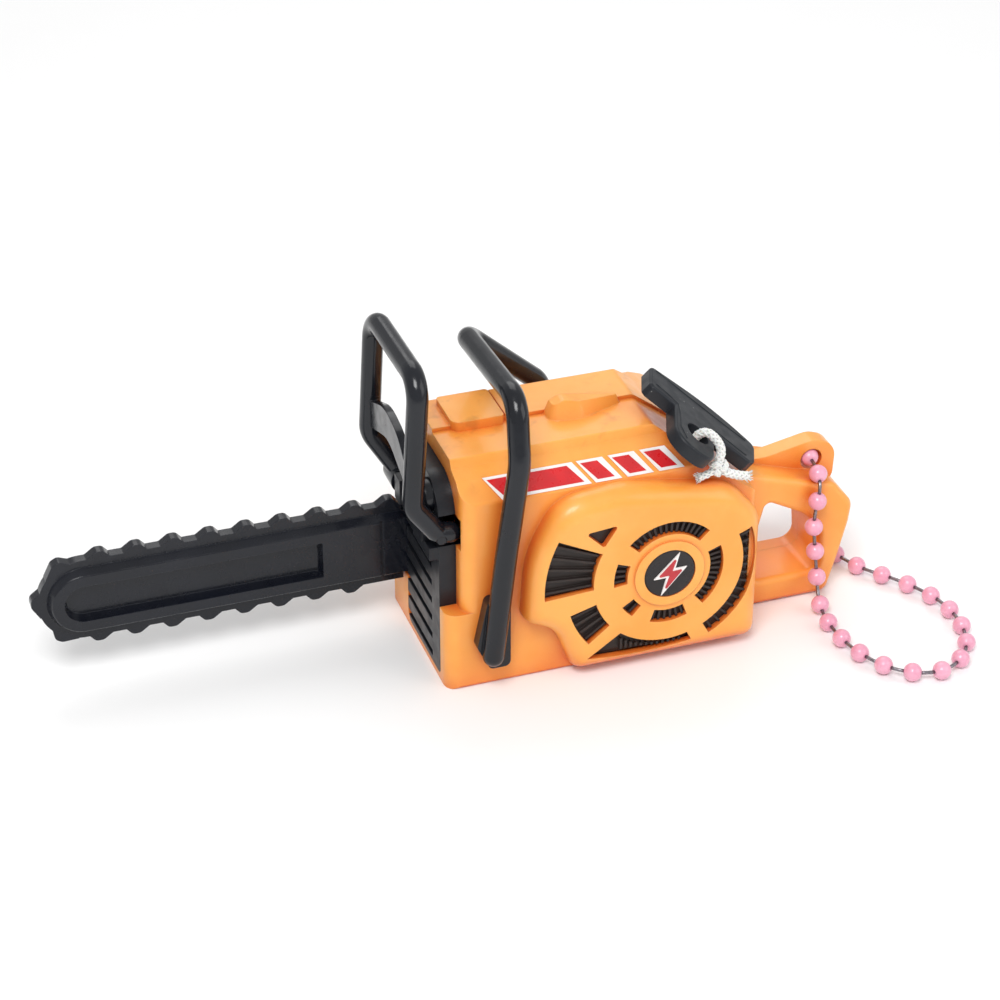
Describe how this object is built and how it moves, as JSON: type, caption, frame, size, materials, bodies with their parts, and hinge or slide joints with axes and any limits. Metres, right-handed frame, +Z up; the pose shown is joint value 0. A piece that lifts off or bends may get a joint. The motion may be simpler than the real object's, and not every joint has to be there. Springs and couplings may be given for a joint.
{
  "type": "toy chainsaw keychain",
  "caption": "Miniature toy chainsaw on a ball-chain key loop, with a pull-start grip that spins a geared buzzer, a tilting hand guard and a rear handle.",
  "frame": {"origin": "on the resting base, below the starter drum's axis, at the parting plane of the two housing halves", "axes": "+X from the guide bar to the rear handle, -Y the starter side, +Z up"},
  "size_m": [0.1174, 0.0471, 0.0451],
  "materials": {
    "orange_plastic": "moulded, semi-gloss",
    "black_plastic": "moulded, satin",
    "gloss_black": "moulded, glossy",
    "vent_plastic": "moulded, satin, ribbed",
    "bar_plastic": "moulded, semi-gloss",
    "grip_plastic": "moulded, fine grain",
    "badge_plastic": "smooth",
    "badge_red": "printed",
    "decal_white": "sticker",
    "decal_red": "sticker",
    "rope_white": "braided",
    "white_plastic": "moulded",
    "steel": "plated",
    "brass": "turned",
    "chain_pink": "lacquered"
  },
  "bodies": {
    "saw": {"left_housing": "orange_plastic", "right_housing": "orange_plastic", "clutch_cover": "orange_plastic", "starter_vent_insert": "vent_plastic", "starter_badge": "badge_plastic", "badge_bolt": "badge_red", "front_panel": "black_plastic", "exhaust_boss": "gloss_black", "guide_bar": "bar_plastic", "bar_bolts": "steel", "front_handle": "gloss_black", "guard_pivot_pins": "gloss_black", "decal_backing": "decal_white", "decal_stripes": "decal_red", "rope_eyelet": "brass", "recoil_spring": "steel", "spring_cup": "black_plastic", "drum_axle": "steel", "gearbox_plate": "white_plastic", "idler_axle": "steel", "buzzer_axle": "steel", "gearbox_screws": "steel", "housing_screws": "steel", "ball_chain": "chain_pink", "chain_connector": "chain_pink"},
    "guard": {"hand_guard": "gloss_black"},
    "grip": {"starter_grip": "grip_plastic", "starter_rope": "rope_white"},
    "drum": {"starter_drum": "white_plastic", "rope_coil": "rope_white"},
    "idler": {"idler_gear": "white_plastic"},
    "buzzer": {"buzzer_weight": "brass"}
  },
  "joints": [
    {"name": "guard_tilt", "type": "hinge", "parent": "saw", "child": "guard", "pos_m": [-0.0283, 0, 0.0216], "axis": [0, -1, 0], "range_deg": [0, 12]},
    {"name": "starter_pull", "type": "slide", "parent": "saw", "child": "grip", "axis": [0, 0, 1], "range_m": [0, 0.02], "stiffness_N_per_m": 15, "springref_m": -0.05},
    {"name": "drum_spin", "type": "hinge", "parent": "saw", "child": "drum", "pos_m": [0, -0.01, 0.014], "axis": [0, 1, 0], "range_deg": [-290, 10]},
    {"name": "idler_spin", "type": "hinge", "parent": "saw", "child": "idler", "pos_m": [-0.00765, -0.0078, 0.014], "axis": [0, 1, 0], "range_deg": [-20, 680]},
    {"name": "buzzer_spin", "type": "hinge", "parent": "saw", "child": "buzzer", "pos_m": [-0.01485, -0.008, 0.014], "axis": [0, 1, 0], "range_deg": [-1500, 40]}
  ],
  "couplings": [
    {"joint": "drum_spin", "follows": "starter_pull", "rad_per_m": -238.1},
    {"joint": "idler_spin", "follows": "starter_pull", "rad_per_m": 571.43},
    {"joint": "buzzer_spin", "follows": "starter_pull", "rad_per_m": -1257.1}
  ]
}
